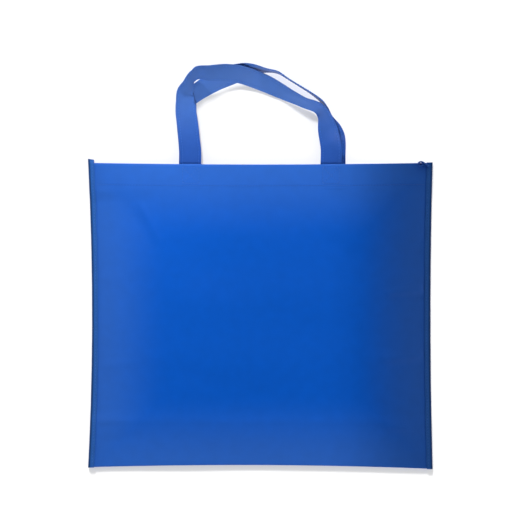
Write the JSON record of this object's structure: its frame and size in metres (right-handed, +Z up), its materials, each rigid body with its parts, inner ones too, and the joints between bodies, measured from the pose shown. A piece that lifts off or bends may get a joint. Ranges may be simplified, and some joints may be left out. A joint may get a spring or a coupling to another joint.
{
  "type": "non-woven tote bag",
  "caption": "Flat non-woven shopping tote with a folded bottom gusset, bound side seams, hemmed mouth and short strap handles, lying on its back",
  "frame": {"origin": "middle of the back panel's outer face, on the surface the bag rests on", "axes": "+X across the bag to the right as seen from above, +Y from the bottom folds to the mouth and the handles, +Z up out of the resting surface"},
  "size_m": [0.4002, 0.4695, 0.0398],
  "materials": {
    "bag_cloth": "matt spunbonded non-woven with a small embossed bond pattern",
    "binding_strip": "matt non-woven strip folded over the raw edges",
    "handle_strap": "matt non-woven strap, folded and edge stitched"
  },
  "bodies": {
    "root": {"bag_body": "bag_cloth", "left_binding": "binding_strip", "right_binding": "binding_strip", "front_handle": "handle_strap", "back_handle": "handle_strap"}
  },
  "joints": []
}
